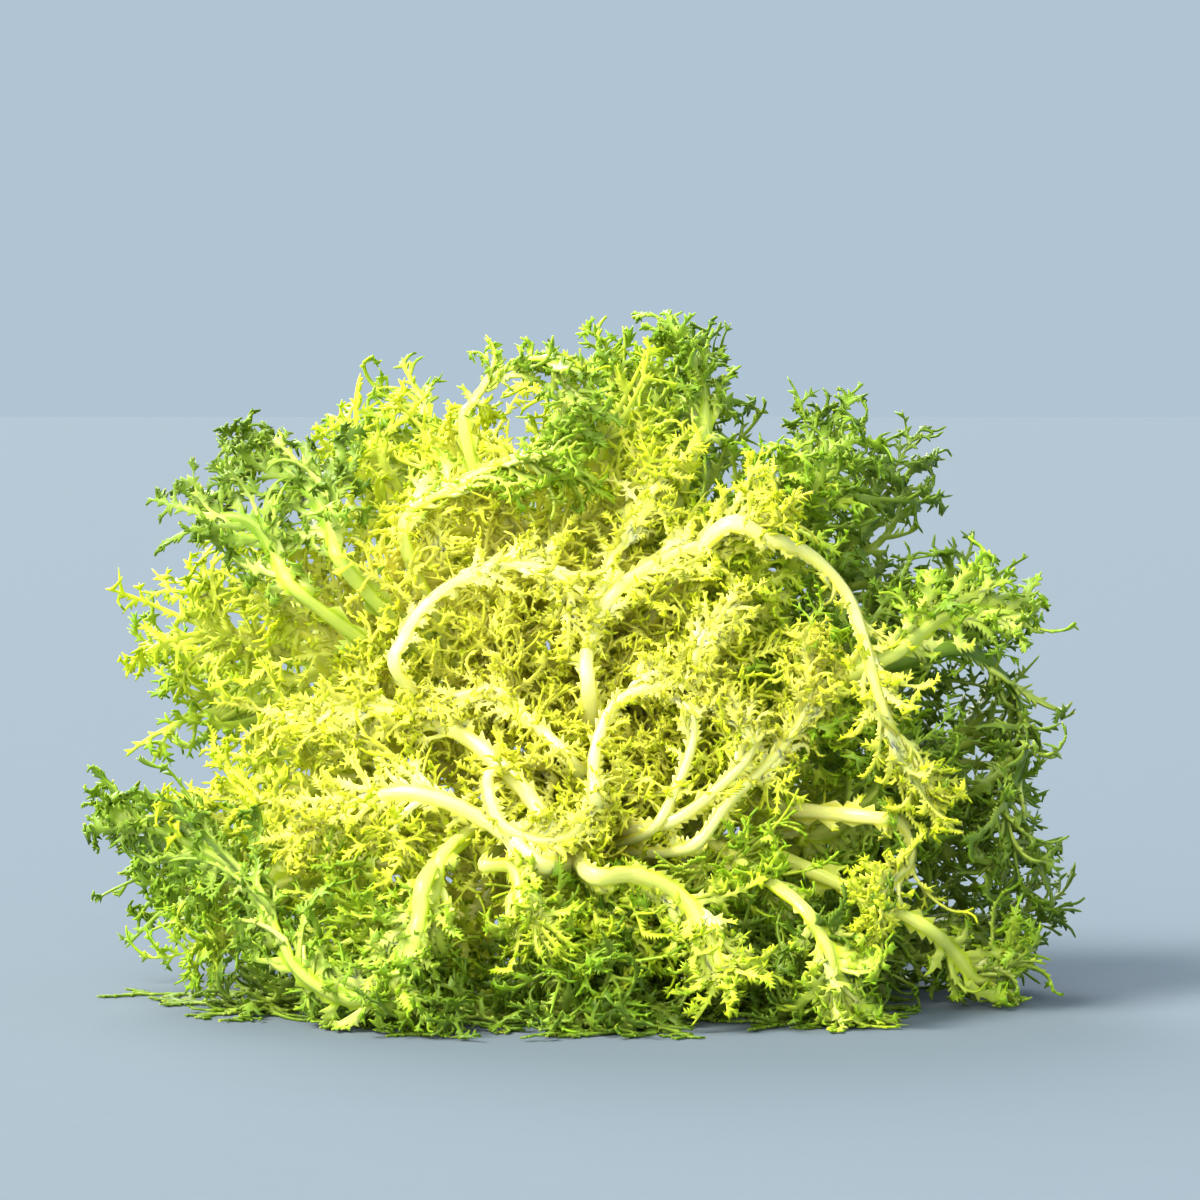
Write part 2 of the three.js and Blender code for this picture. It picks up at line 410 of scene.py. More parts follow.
def strap(tissue, rng, habit, bud, left, right, length, width, tint, depth):
    """A lobe or prong that grows from an edge, with smaller ones on its own edges, to a pointed tip."""
    steps = max(2, round(length / (habit["lobe_step"] * STEP_SIZE[depth])))
    step = length / steps
    size = BEND[depth]
    curl = rng.choice((1, -1)) * habit["curl"] * size * rng.uniform(LEAST_CURL, 1.0) / steps
    sway = either_way(rng, habit["sway"]) * size / steps
    twist = either_way(rng, habit["twist"]) * size / steps
    rib, green, light = tint
    thickness = habit["blade_thickness"]
    base = (tissue.points[right] - tissue.points[left]).length
    _, along = tissue.growth[left]
    for i in range(1, steps + 1):
        share = i / steps
        bud.turn(curl * (CURL_AT_FOOT + CURL_GAIN * share**2), sway, twist)
        bud.advance(step)
        half = 0.5 * width * (1 - LOBE_TAPER * share) + FILLET * max(0, base - width) * (1 - share) ** 4
        body = thickness * (1 + RIB_BODY * rib * (1 - share))
        shade = (rib * (1 - RIB_FADE * share), min(1.0, green + RIPENING * share), light)
        along += step
        new_left = tissue.point(bud.place - bud.side * half, shade, body, -half, along)
        new_right = tissue.point(bud.place + bud.side * half, shade, body, half, along)
        tissue.faces.append((left, right, new_right, new_left))
        ready = smooth(share, *FIRST_PRONG) if depth == FULL_LOBE else 1.0
        for sign, edge in ((1, (new_right, right)), (-1, (left, new_left))):
            if depth and rng.random() < habit["pronged"] * ready * PRONGED[depth]:
                angle = math.radians(rng.uniform(*PRONG_ANGLE))
                child = bud.branch(tissue.middle(*edge), sign, angle, either_way(rng, habit["lift"]))
                reach = length * rng.uniform(*PRONG_REACH) * (1 - SHORTER * share)
                strap(tissue, rng, habit, child, *edge, reach, width * PRONG_WIDTH, shade, depth - 1)
            elif rng.random() < habit["toothed"] * ready:
                tooth(tissue, bud, sign, *edge, habit["tooth"] * rng.uniform(*PRONG_TOOTH), shade, thickness)
        left, right = new_left, new_right
    tip = bud.place + bud.forward * step * TIP_LENGTH
    tissue.faces.append((left, right, tissue.point(tip, shade, thickness * TIP_THICKNESS, 0, along + step)))


# ---- Leaves ----

FRAME_SHARE = 0.85  # of a frame leaf's midline, which its grown leaf takes, so that its lobes stay inside
FOOT_SUNK = 5  # millimetres that a leaf's foot reaches into the stem
DOUBLES = 0.02 * MM  # points closer than this are one
ROOT_SHARE = 0.42  # how far an arching rib starts from its first point towards the crown
ROOT_BEND = 0.6  # of its first stretch, which keeps its foot in line
JUST_UNDER_ONE = 0.9999  # keeps a leaf's very end in the last stretch


class Midline:
    """The middle of a leaf from its foot to its tip, with its sides and half widths.

    The leaf takes the share of it up to its end.
    """

    def __init__(self, centres, sides, halves, end=1.0):
        self.end = end
        self.centres = centres
        self.sides = sides
        self.halves = halves
        self.length = sum((b - a).length for a, b in zip(centres, centres[1:]))

    def at(self, share):
        """A growing point on the midline, and the half width there."""
        last = len(self.centres) - 1
        place = min(share * self.end, JUST_UNDER_ONE) * last
        i = int(place)
        t = place - i
        p = [self.centres[min(last, max(0, i + k))] for k in (-1, 0, 1, 2)]
        spot = 0.5 * (
            2 * p[1]
            + (p[2] - p[0]) * t
            + (2 * p[0] - 5 * p[1] + 4 * p[2] - p[3]) * t**2
            + (3 * p[1] - p[0] - 3 * p[2] + p[3]) * t**3
        )
        forward = (p[2] - p[1]).lerp((p[2] - p[0]) if t < 0.5 else (p[3] - p[1]), 0.5).normalized()
        side = self.sides[i].lerp(self.sides[i + 1], t)
        up = side.cross(forward).normalized()
        return Bud(spot, forward, up), blend(self.halves[i], self.halves[i + 1], t)


def frame_midline(name):
    """The midline of a frame leaf, from the rings of its points."""
    mesh = bmesh.new()
    mesh.from_mesh(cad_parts[name].data)
    bmesh.ops.remove_doubles(mesh, verts=mesh.verts, dist=DOUBLES)
    tip = max(mesh.verts, key=lambda v: (v.co - CROWN).length)
    rings, seen, ring = [], {tip}, [tip]
    while ring:
        rings.append([v.co.copy() for v in ring])
        ring = sorted({e.other_vert(v) for v in ring for e in v.link_edges} - seen, key=lambda v: v.index)
        seen.update(ring)
    mesh.free()
    rings.reverse()
    centres = [sum(r, Vector()) / len(r) for r in rings]
    sides, halves = [], []
    for ring in rings[:-1]:
        pairs = ((a, b) for a in ring for b in ring)
        first, second = max(pairs, key=lambda pair: (pair[0] - pair[1]).length)
        across = second - first
        if sides and across.dot(sides[-1]) < 0:
            across.negate()
        halves.append(across.length / 2)
        sides.append(across.normalized())
    if sides[0].cross(centres[1] - centres[0]).dot(HEAD_AXIS) < 0:
        sides = [-side for side in sides]
    sides.append(sides[-1])
    halves = [max(halves[max(0, i - 1) : i + 2]) for i in range(len(halves))] + [halves[-1]]
    centres[0] = centres[0] + (CROWN - centres[0]).normalized() * FOOT_SUNK * MM
    return Midline(centres, sides, halves, end=FRAME_SHARE)


def arching_midline(points, reach):
    """The midline of a rib that arches over the head's face, with its upper side turned outwards."""
    centres = [CROWN + Vector(p) * MM for p in points]
    centres.insert(0, centres[0].lerp(CROWN, ROOT_SHARE) - (centres[1] - centres[0]) * ROOT_BEND)
    sides = []
    for i, centre in enumerate(centres):
        forward = centres[min(i + 1, len(centres) - 1)] - centres[max(i - 1, 0)]
        sides.append(forward.cross(centre - CROWN).normalized())
    return Midline(centres, sides, [reach * MM] * len(centres))


def habit_of(level):
    """The sizes of a whorl's leaves, between the outermost leaves' and the heart's."""
    share = level / (len(WHORLS) - 1)
    sizes = bpy.context.scene.endive.sizes
    names = ENDIVE_LeafSizes.__annotations__
    habit = {name: blend(*getattr(sizes, name), share) for name in names}
    habit["pale_foot"] = 0.05  # how green the foot is, of the leaf's own greenness
    habit["bare"] = 0.0  # the share of the rib past the usual one that has no blade
    habit["whiteness"] = 1.0  # how much of the rib's own colour shows
    return habit


# The ribs that arch over the head's face: the width at the foot and at the tip, the reach of the lobes,
# how green (above 1, painted shade), and the points that the rib passes. Millimetres, from the crown.
ARCHING_RIBS = (
    (6.0, 1.3, 11, 0.03, (
        (-62, -78, 43), (-60, -78, 56), (-52, -77, 67), (-40, -74, 74), (-24, -69, 77), (-12, -69, 72),
        (-7, -75, 59),
    )),
    (5.4, 1.2, 15, 0.08, (
        (-3, -82, 37), (-4, -77, 51), (0, -72, 63), (9, -65, 73), (23, -59, 80), (37, -55, 85),
        (48, -51, 89),
    )),
    (3.6, 0.8, 13, 0.1, (
        (-1, -69, 61), (3, -63, 73), (6, -56, 83), (11, -47, 94), (14, -40, 104),
    )),
    (9.0, 2.2, 12, 0.12, (
        (37, -58, 88), (53, -58, 85), (67, -48, 79), (79, -47, 67), (84, -65, 53), (87, -77, 36),
        (93, -77, 20), (101, -73, 5),
    )),
    (4.4, 1.0, 9, 0.0, (
        (-1, -103, 6), (-1, -93, 20), (5, -85, 34), (15, -82, 41), (26, -80, 44), (32, -75, 56),
        (43, -68, 63),
    )),
    (6.5, 1.2, 13, 0.05, (
        (-16, -111, -13), (-30, -102, -3), (-47, -100, 5), (-63, -94, 8), (-79, -84, 5), (-91, -83, -5),
    )),
    (6.5, 1.3, 14, 0.06, (
        (-12, -104, -5), (-24, -94, 11), (-41, -81, 25), (-59, -73, 30), (-79, -68, 32), (-99, -53, 27),
    )),
    (5.0, 1.1, 10, 0.02, (
        (-8, -91, 17), (-17, -85, 27), (-28, -82, 34), (-39, -79, 37), (-51, -76, 34),
    )),
    (4.2, 1.0, 8, 0.02, (
        (-32, -94, 16), (-34, -100, 9), (-30, -104, -1), (-19, -107, -5), (-9, -107, -2), (-4, -101, 5),
    )),
    (4.2, 0.8, 10, 0.0, (
        (28, -101, -8), (41, -90, 6), (55, -74, 20), (65, -68, 35), (68, -63, 48),
    )),
    (4.2, 0.8, 10, 0.0, (
        (20, -99, -1), (37, -91, 9), (47, -82, 19), (43, -81, 29), (30, -78, 39),
    )),
    (3.4, 0.7, 9, 0.0, (
        (17, -100, -2), (25, -91, 14), (28, -85, 28), (26, -80, 37), (20, -77, 42),
    )),
    (7.0, 1.3, 13, 0.32, (
        (-3, -116, -15), (11, -112, -16), (25, -109, -22), (34, -113, -32), (38, -117, -43),
    )),
    (5.2, 1.2, 12, 0.2, (
        (83, -71, -1), (93, -68, -3), (96, -71, -14), (90, -84, -22), (86, -96, -30),
    )),
    (5.2, 1.1, 13, 0.45, (
        (60, -108, -23), (67, -113, -34), (71, -115, -45), (76, -113, -54),
    )),
    (5.0, 1.1, 12, 0.35, (
        (-36, -104, -13), (-27, -107, -14), (-24, -116, -23), (-18, -124, -27),
    )),
    (5.2, 1.1, 13, 0.5, (
        (-47, -105, -8), (-50, -109, -22), (-57, -120, -33), (-62, -127, -44),
    )),
    (5.0, 1.1, 13, 0.5, (
        (97, -83, -32), (110, -67, -45), (120, -60, -53), (126, -58, -46),
    )),
    (6.4, 1.4, 18, 0.62, (
        (-51, -109, -13), (-55, -119, -29), (-60, -130, -44), (-74, -124, -51), (-90, -115, -44),
        (-101, -99, -30), (-114, -72, -19), (-130, -51, -12), (-145, -39, -5),
    )),
    # Greenness 1.3, past the darkest, gives this rib on the shaded right side the dark blade throughout:
    # painted shade.
    (6.4, 1.3, 18, 1.3, (
        (105, -45, 49), (121, -30, 46), (132, -22, 32), (135, -30, 15), (129, -44, -2), (131, -44, -13),
    )),
    (5.0, 1.0, 12, 0.55, (
        (-42, -39, 115), (-40, -34, 127), (-31, -35, 137), (-19, -37, 140), (-10, -39, 134),
        (-8, -43, 125),
    )),
    (5.0, 1.0, 10, 0.6, (
        (29, -24, 108), (34, -11, 120), (32, -8, 135), (25, -13, 145),
    )),
    (5.4, 1.0, 18, 0.7, (
        (-77, -68, 74), (-84, -58, 88), (-93, -43, 100), (-104, -32, 109),
    )),
    (4.6, 1.0, 16, 0.7, (
        (-89, -65, 65), (-101, -58, 78), (-109, -54, 89), (-118, -50, 93),
    )),
    (6.0, 1.1, 14, 0.45, (
        (-61, -64, 86), (-48, -50, 100), (-30, -50, 109), (-13, -50, 106),
    )),
    (6.0, 1.1, 15, 0.52, (
        (88, -62, 47), (100, -47, 55), (114, -37, 60), (130, -29, 59),
    )),
)


# How a rib lies: its wave starts and is whole at these shares of the leaf, the bow starts at its own.
WAVE_RUN = (0.1, 0.7)
WAVE_BEATS = (5, 9)
UPWARD_BEAT = 1.3  # the wave up and down, against the one from side to side
UPWARD_WAVE = 0.7
BOW_SHARE = (-0.4, 1.0)
BOW_START = 0.35
KNOBS = 0.1  # how much the rib's width varies
KNOB_BEAT = 2.3
LEAST_WEB = 0.3 * MM
WEB_RUN = (0.25, 0.6)  # where the strip of blade starts to widen, and where it is whole
WEB_TAPER = 0.8
RIPE_RUN = (0.1, 0.85)  # where the green starts, and where it is whole
RIPE_END = 1.1
FRILL = 0.4  # how far the strip of blade tips up and down, and how fast
FRILL_BEAT = 1.9
RIB_LIGHT = 0.85

# What grows from a leaf's edges.
BLADE_RUN = (0.2, 0.55)  # where lobes start to be many and long, and where they are so throughout
FORK_RUN = (0.3, 0.9)
FORK_ANGLE = (0.25, 0.6)
FORK_LIFT = 0.35
FORK_WIDTH = 1.4  # of the rib's half width
FORK_REACH = 1.5  # of the leaf's half width
FORK_LEAST = 14 * MM
AHEAD = 0.8  # of the leaf that is left, the most that a lobe may reach
LOBE_ANGLES = (68, 22)  # degrees, at the foot and at the end
LOBE_ANGLE_PLAY = 14
LOBE_REACH = 0.95  # of the leaf's half width
LOBE_REACH_PLAY = (0.5, 1.2)
LONGEST_LOBE = 1.45
LOBE_EXTRA = 1.5 * MM
LOBE_WIDTH_PLAY = (0.6, 1.3)
RAISED_RUN = (0.3, 0.75)  # past these shares of the leaf, lobes rise as well as fall
FULL_LOBE_STEPS = 5  # a longer lobe is a full one
SLENDER_START = 0.55
SLENDER_SHARE = 0.3  # of the lobes near a leaf's end, which are long and narrow with few prongs
SLENDER_REACH = 1.3
SLENDER_WIDTH = 0.6
EDGE_TEETH_START = 0.12
EDGE_TEETH_SHARE = 0.6
EDGE_TOOTH = (0.6, 1.4)
MIDDLE_GAPS = (2, 3)  # between the points of the rib itself
END_REACH = (0.9, 1.6)
END_SPREAD = 20  # degrees from one end lobe to the next


class Station(NamedTuple):
    """A row of points across a leaf, with the measures that its edges grow by."""

    row: list
    bud: Bud
    half: float
    rib: float
    ripe: float
    share: float


def rib_row(tissue, habit, bud, rib, web, core, tint, frill, along):
    """One row of points across the rib and the strip of blade at each side of it.

    The rib is rounded and thickest in its middle, and the strips tip up at their edges.
    """
    thin = habit["blade_thickness"]
    rise = -0.35 * rib
    ribbed, ripe, light = tint
    row = []
    for across, ribness, up, thick in (
        (-rib - web, 0.05, rise + web * (0.25 + frill), thin),
        (-rib, 0.75, rise, blend(thin, core, 0.45)),
        (-0.55 * rib, 1.0, 0.3 * rise, blend(thin, core, 0.85)),
        (0, 1.0, 0, core),
        (0.55 * rib, 1.0, 0.3 * rise, blend(thin, core, 0.85)),
        (rib, 0.75, rise, blend(thin, core, 0.45)),
        (rib + web, 0.05, rise + web * (0.25 - frill), thin),
    ):
        place = bud.place + bud.side * across + bud.up * up
        row.append(tissue.point(place, (ribness * ribbed, ripe, light), thick, across, along))
    return row


def lay_stations(tissue, rng, habit, midline, green):
    """The rows of points from a leaf's foot to its end, along a rib that waves and bows."""
    count = round(midline.length / habit["lobe_pitch"])
    phase = rng.uniform(0, 6.28)
    beat = rng.uniform(*WAVE_BEATS)
    bow = habit["bow"] * rng.uniform(*BOW_SHARE)
    stations = []
    for i in range(count + 1):
        share = i / count
        bud, half = midline.at(share)
        drift = habit["wave"] * smooth(share, *WAVE_RUN)
        upward = math.sin(share * beat * UPWARD_BEAT + 2 * phase) * drift * UPWARD_WAVE
        bud.place = bud.place + bud.side * (math.sin(share * beat + phase) * drift)
        bud.place = bud.place + bud.up * upward
        bud.place = bud.place + bud.up * (bow * smooth(share, BOW_START, 1) ** 2)
        half = max(half, habit["shortest_reach"])
        knob = 1 + KNOBS * math.sin(KNOB_BEAT * i + phase)
        rib = 0.5 * blend(habit["rib_foot"], habit["rib_tip"], share) * knob
        web = LEAST_WEB + habit["web"] * smooth(share, *WEB_RUN) * (1 - WEB_TAPER * share**2)
        core = habit["blade_thickness"] + habit["rib_thickness"] * (1 - share) ** 0.9
        ripe = green * blend(habit["pale_foot"], RIPE_END, smooth(share, *RIPE_RUN))
        ripe = min(1.0, max(0.0, ripe))
        frill = math.sin(i * FRILL_BEAT + phase) * FRILL
        tint = (blend(1.0, 0.7, share) * habit["whiteness"], ripe, RIB_LIGHT)
        row = rib_row(tissue, habit, bud, rib, web, core, tint, frill, share * midline.length)
        stations.append(Station(row, bud, half, rib, ripe, share))
    return stations


def grow_edge(tissue, rng, habit, station, sign, edge, length):
    """What one stretch of a leaf's edge carries: a fork of the rib, a lobe, a tooth or nothing."""
    _, bud, half, rib, ripe, share = station
    first, whole = (run + habit["bare"] for run in BLADE_RUN)
    bladed = smooth(share, first, whole)
    tint = (0.75 - 0.25 * bladed, ripe, rng.random())
    fork_start, fork_end = FORK_RUN
    ahead = AHEAD * (1 - share) * length
    if fork_start + habit["bare"] < share < fork_end and rng.random() < habit["forked"]:
        angle = rng.uniform(*FORK_ANGLE)
        child = bud.branch(tissue.middle(*edge), sign, angle, either_way(rng, FORK_LIFT))
        reach = min(FORK_REACH * half, ahead + FORK_LEAST)
        strap(tissue, rng, habit, child, *edge, reach, FORK_WIDTH * rib, (1.0, ripe, 1.0), FULL_LOBE)
    elif rng.random() < habit["lobed"] * blend(0.2, 1.0, bladed):
        angle = math.radians(blend(*LOBE_ANGLES, share) + either_way(rng, LOBE_ANGLE_PLAY))
        reach = half * LOBE_REACH / math.sin(angle) * rng.uniform(*LOBE_REACH_PLAY)
        reach = reach * blend(0.3, 1.0, bladed)
        reach = min(reach, LONGEST_LOBE * half, ahead + habit["shortest_reach"]) + LOBE_EXTRA
        lift = habit["lift"] * rng.uniform(-1.0, blend(-0.1, 0.9, smooth(share, *RAISED_RUN)))
        child = bud.branch(tissue.middle(*edge), sign, angle, lift)
        depth = FULL_LOBE if reach > FULL_LOBE_STEPS * habit["lobe_step"] else PLAIN_LOBE
        width = habit["lobe_width"] * rng.uniform(*LOBE_WIDTH_PLAY)
        if share > SLENDER_START and rng.random() < SLENDER_SHARE:
            reach = SLENDER_REACH * reach
            width = SLENDER_WIDTH * width
            depth = PLAIN_LOBE
        strap(tissue, rng, habit, child, *edge, reach, width, tint, depth)
    elif share > EDGE_TEETH_START and rng.random() < EDGE_TEETH_SHARE:
        size = habit["tooth"] * rng.uniform(*EDGE_TOOTH)
        tooth(tissue, bud, sign, *edge, size, tint, habit["blade_thickness"])


def grow_end(tissue, rng, habit, station):
    """The lobes that fan from a leaf's end, where its last row of points is open."""
    row, bud, _, _, ripe, _ = station
    for k in range(len(row) - 1):
        if k in MIDDLE_GAPS or rng.random() < 0.5:
            angle = math.radians((k - sum(MIDDLE_GAPS) / 2) * END_SPREAD)
            child = bud.branch(tissue.middle(row[k], row[k + 1]), 1, angle, either_way(rng, 0.4))
            length = habit["shortest_reach"] * rng.uniform(*END_REACH)
            width = 0.7 * habit["lobe_width"]
            depth = rng.choice((PLAIN_LOBE, FULL_LOBE))
            strap(tissue, rng, habit, child, row[k], row[k + 1], length, width, (0.3, ripe, 0.6), depth)


def grow_leaf(midline, habit, green, rng):
    """The rib and the strip of blade beside it, with lobes on its edges."""
    tissue = Tissue()
    stations = lay_stations(tissue, rng, habit, midline, green)
    for before, station in zip(stations, stations[1:]):
        row, new = before.row, station.row
        for k in range(len(row) - 1):
            tissue.faces.append((row[k], row[k + 1], new[k + 1], new[k]))
        for sign, edge in ((1, (new[-1], row[-1])), (-1, (row[0], new[0]))):
            grow_edge(tissue, rng, habit, station, sign, edge, midline.length)
    grow_end(tissue, rng, habit, stations[-1])
    return tissue


# How growth is held back, in height above the floor and past the frame's box.
FLOOR_SOFT = 3.5 * MM  # below this a lobe starts to spread
FLOOR_LEAST = 0.5 * MM
PROUD = 7.2 * MM  # how far lobes stand out of the box before they are held back, and how far after that


def within_reach(place):
    """Growth that would go below the floor spreads on it, and far ends stay near the frame's box."""
    if place.z < FLOOR_SOFT:
        room = FLOOR_SOFT - FLOOR_LEAST
        place.z = FLOOR_LEAST + room * math.exp((place.z - FLOOR_SOFT) / room)
    low, high = CAD_BOX
    for axis in (0, 1, 2):
        for limit, way in ((high[axis], 1), (low[axis], -1)):
            beyond = way * (place[axis] - limit) - PROUD
            if beyond > 0 and (axis, way) != (2, -1):
                place[axis] = limit + way * (PROUD + PROUD * (1 - math.exp(-beyond / PROUD)))
    return place


def leaf_piece(name, tissue, material):
    """A closed, smooth piece from a leaf's tissue."""
    mesh = bpy.data.meshes.new(name)
    mesh.from_pydata([within_reach(p) for p in tissue.points], [], tissue.faces)
    shades = mesh.attributes.new("tissue", "FLOAT_COLOR", "POINT")
    shades.data.foreach_set("color", [c for tint in tissue.tints for c in (*tint, 1.0)])
    growth = mesh.uv_layers.new(name="growth")
    corners = [tissue.growth[loop.vertex_index] for loop in mesh.loops]
    growth.data.foreach_set("uv", [c for corner in corners for c in corner])
    mesh.materials.append(material)
    mesh.shade_smooth()
    piece = bpy.data.objects.new(name, mesh)
    bpy.context.collection.objects.link(piece)
    thickest = max(tissue.thickness)
    group = piece.vertex_groups.new(name="thickness")
    for i, thickness in enumerate(tissue.thickness):
        group.add([i], thickness / thickest, "REPLACE")
    body = piece.modifiers.new("body", "SOLIDIFY")
    body.thickness = thickest
    body.offset = 0
    body.vertex_group = "thickness"
    select_only(piece)
    bpy.ops.object.modifier_apply(modifier="body")
    return piece


def select_only(piece):
    bpy.ops.object.select_all(action="DESELECT")
    bpy.context.view_layer.objects.active = piece
    piece.select_set(True)


def seeded(level, number):
    """A leaf's own random draws, the same in every run."""
    return random.Random(SEED + 100 * level + number)


def grow_whorls(levels):
    """Every leaf of the whorls, each standing for its frame leaf."""
    material = bpy.data.materials.get("endive_leaf") or leaf_material(bpy.context.scene.endive.colours)
    for level in levels:
        names = sorted(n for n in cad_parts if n.startswith(f"{WHORLS[level]}_leaf"))
        for number, name in enumerate(names):
            rng = seeded(level, number)
            midline = frame_midline(name)
            green = GREENNESS[level] + either_way(rng, GREEN_PLAY)
            # Painted shade: a leaf that ends on the right or low down is made greener and darker, away from
            # the key light.
            green = green + PAINTED_SHADE_SLOPE.dot(midline.centres[-1] - CROWN)
            tissue = grow_leaf(midline, habit_of(level), max(0.0, green), rng)
            piece = leaf_piece(name.replace("leaf", "curled_leaf"), tissue, material)
            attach(piece, "root")
            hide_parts(name)


# Where the arching ribs differ from the leaves around them.
ARCHING_LEVEL = 10  # past every whorl's, for the random draws
GREEN_RIB = 0.4  # a greener arching rib has its blade near its foot
ARCHING_FOOT = 0.9  # of the width given in the table
ARCHING_THICKNESS = 0.36  # of that width
ARCHING_WAVE = 1.5 * MM


def arching_habit(green, foot, tip, reach):
    """The sizes of an arching rib: those of a whorl as green as it is, with its own widths."""
    level = min(range(len(GREENNESS)), key=lambda k: abs(GREENNESS[k] - green))
    habit = habit_of(level)
    habit["rib_foot"] = ARCHING_FOOT * foot * MM
    habit["rib_tip"] = tip * MM
    habit["rib_thickness"] = ARCHING_THICKNESS * foot * MM
    habit["shortest_reach"] = reach * MM
    habit["wave"] = ARCHING_WAVE
    habit["bow"] = 0.0
    habit["web"] *= 0.5
    habit["forked"] = 0.16
    habit["pale_foot"] = 0.75
    habit["toothed"] *= 1.4
    habit["bare"] = 0.22 if green < GREEN_RIB else 0.05
    habit["whiteness"] = max(0.1, 1 - 0.75 * green)
    return habit


class ENDIVE_OT_outer_leaves(bpy.types.Operator):
    """Grow the green leaves of the outer and second whorls"""

    bl_idname = "endive.outer_leaves"
    bl_label = "Outer Leaves"

    def execute(self, context):
        grow_whorls((0, 1))
        return {"FINISHED"}


class ENDIVE_OT_middle_leaves(bpy.types.Operator):
    """Grow the yellow-green leaves of the third and fourth whorls"""

    bl_idname = "endive.middle_leaves"
    bl_label = "Middle Leaves"

    def execute(self, context):
        grow_whorls((2, 3))
        return {"FINISHED"}


class ENDIVE_OT_heart_leaves(bpy.types.Operator):
    """Grow the yellow leaves of the inner and heart whorls and the bud"""

    bl_idname = "endive.heart_leaves"
    bl_label = "Heart Leaves"

    def execute(self, context):
        grow_whorls((4, 5, 6))
        return {"FINISHED"}


class ENDIVE_OT_arching_ribs(bpy.types.Operator):
    """Grow the pale ribs that arch over the head's face"""

    bl_idname = "endive.arching_ribs"
    bl_label = "Arching Ribs"

    def execute(self, context):
        material = bpy.data.materials.get("endive_leaf") or leaf_material(context.scene.endive.colours)
        for number, (foot, tip, reach, green, points) in enumerate(ARCHING_RIBS, 1):
            habit = arching_habit(green, foot, tip, reach)
            rng = seeded(ARCHING_LEVEL, number)
            tissue = grow_leaf(arching_midline(points, reach), habit, green, rng)
            piece = leaf_piece(f"arching_rib_{number:02d}", tissue, material)
            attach(piece, "root")
        return {"FINISHED"}


# ---- Stem ----


def frame_stem():
    """The crown's centre, the stem's length from there to the cut, and the way the head faces."""
    low, high = (Vector(corner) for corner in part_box("stem"))
    radius = (high.x - low.x) / 2
    crown = Vector(((low.x + high.x) / 2, low.y + radius, high.z - radius))
    buds = [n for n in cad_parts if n.startswith("bud_leaf")]
    ends = []
    for bud in buds:
        places = (v.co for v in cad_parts[bud].data.vertices)
        ends.append(max(places, key=lambda p: (p - crown).length))
    axis = (sum(ends, Vector()) / len(ends) - crown).normalized()
    heights = [(v.co - crown).dot(axis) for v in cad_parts["stem"].data.vertices]
    return crown, -min(heights), axis


CROWN, STEM_LENGTH, HEAD_AXIS = frame_stem()
NECK_RADIUS = 14.6 * MM
STEM_SIDES = 36
CUT_RINGS = ((1.2, 0.5), (4.0, -0.6), (2.4, 0.4), (3.6, -0.9))  # millimetres inwards and out of the face
SHOULDERS = ((4.0, 1.1), (4.0, 0.92), (3.5, 0.75), (2.0, 0.5))  # millimetres of rise, and the widening
SCAR_ROWS = ((30, 5, 0.4), (23, 6, 2.0), (15, 7, 3.7))  # millimetres below the crown, scars, phase
SCAR_WIDTH = 2.2 * MM
SCAR_RISE = 1.1  # millimetres
NECK_SHRINK = 0.6  # millimetres that the skin between the scars goes in


def stem_materials(colours):
    """The stem's skin, with strands along it and browned patches, and its cut face with rings."""
    skin = Paint("endive_stem")
    place = skin.node("ShaderNodeTexCoord", output="Object")
    upright = HEAD_AXIS.to_track_quat("Z", "Y").inverted().to_euler()
    stood = skin.node("ShaderNodeVectorRotate", {"rotation_type": "EULER_XYZ"}, {0: place, 4: tuple(upright)})
    drawn = skin.node("ShaderNodeMapping", None, {"Vector": stood, "Scale": (900, 900, 60)})
    strands = skin.noise(drawn, 1.0, 3.0)
    patches = skin.noise(place, 160, 3.0)
    browned = skin.clamp((patches - 0.56) * 7.0) * 0.55
    base = skin.mix(strands * 0.4, colours.stem, colours.rib_green)
    base = skin.mix(browned, base, colours.cut)
    bump = skin.node(
        "ShaderNodeBump", None, {"Strength": 0.5, "Distance": 0.0008, "Height": strands + patches * 0.6}
    )
    surface = {
        "Base Color": base,
        "Roughness": 0.5 + browned * 0.4,
        "Subsurface Weight": 0.6,
        "Subsurface Radius": (1.0, 0.9, 0.4),
        "Subsurface Scale": 0.002,
        "Normal": bump,
    }
    skin.finish(skin.node("ShaderNodeBsdfPrincipled", None, surface))

    face = Paint("endive_cut")
    place = face.node("ShaderNodeTexCoord", output="Object")
    middle = tuple(CROWN - HEAD_AXIS * STEM_LENGTH)
    radius = face.node("ShaderNodeVectorMath", {"operation": "DISTANCE"}, {0: place, 1: middle}, output=1)
    patches = face.noise(place, 420, 4.0)
    rings = radius * (1 / NECK_RADIUS) + (patches - 0.5) * 0.12
    pith = tuple(colours.stem)
    wood = tuple(0.55 * c for c in colours.stem)
    rust = tuple(colours.cut)
    stops = ((0.0, pith), (0.5, pith), (0.62, wood), (0.72, pith), (0.88, rust), (1.0, rust))
    shade = face.node("ShaderNodeValToRGB", None, {0: rings}, stops=stops)
    shade = face.mix(face.clamp((patches - 0.45) * 3.0) * 0.5, shade, colours.cut)
    bump = face.node("ShaderNodeBump", None, {"Strength": 0.6, "Distance": 0.0008, "Height": patches})
    surface = {"Base Color": shade, "Roughness": 0.6 + patches * 0.25, "Normal": bump}
    face.finish(face.node("ShaderNodeBsdfPrincipled", None, surface))
    return skin.material, face.material


def select_faces(mesh, chosen):
    """Selects in edit mode the faces that the test picks."""
    shape = bmesh.from_edit_mesh(mesh)
    for part in (*shape.verts, *shape.edges, *shape.faces):
        part.select_set(False)
    for part in shape.faces:
        part.select_set(chosen(part))
    bmesh.update_edit_mesh(mesh)


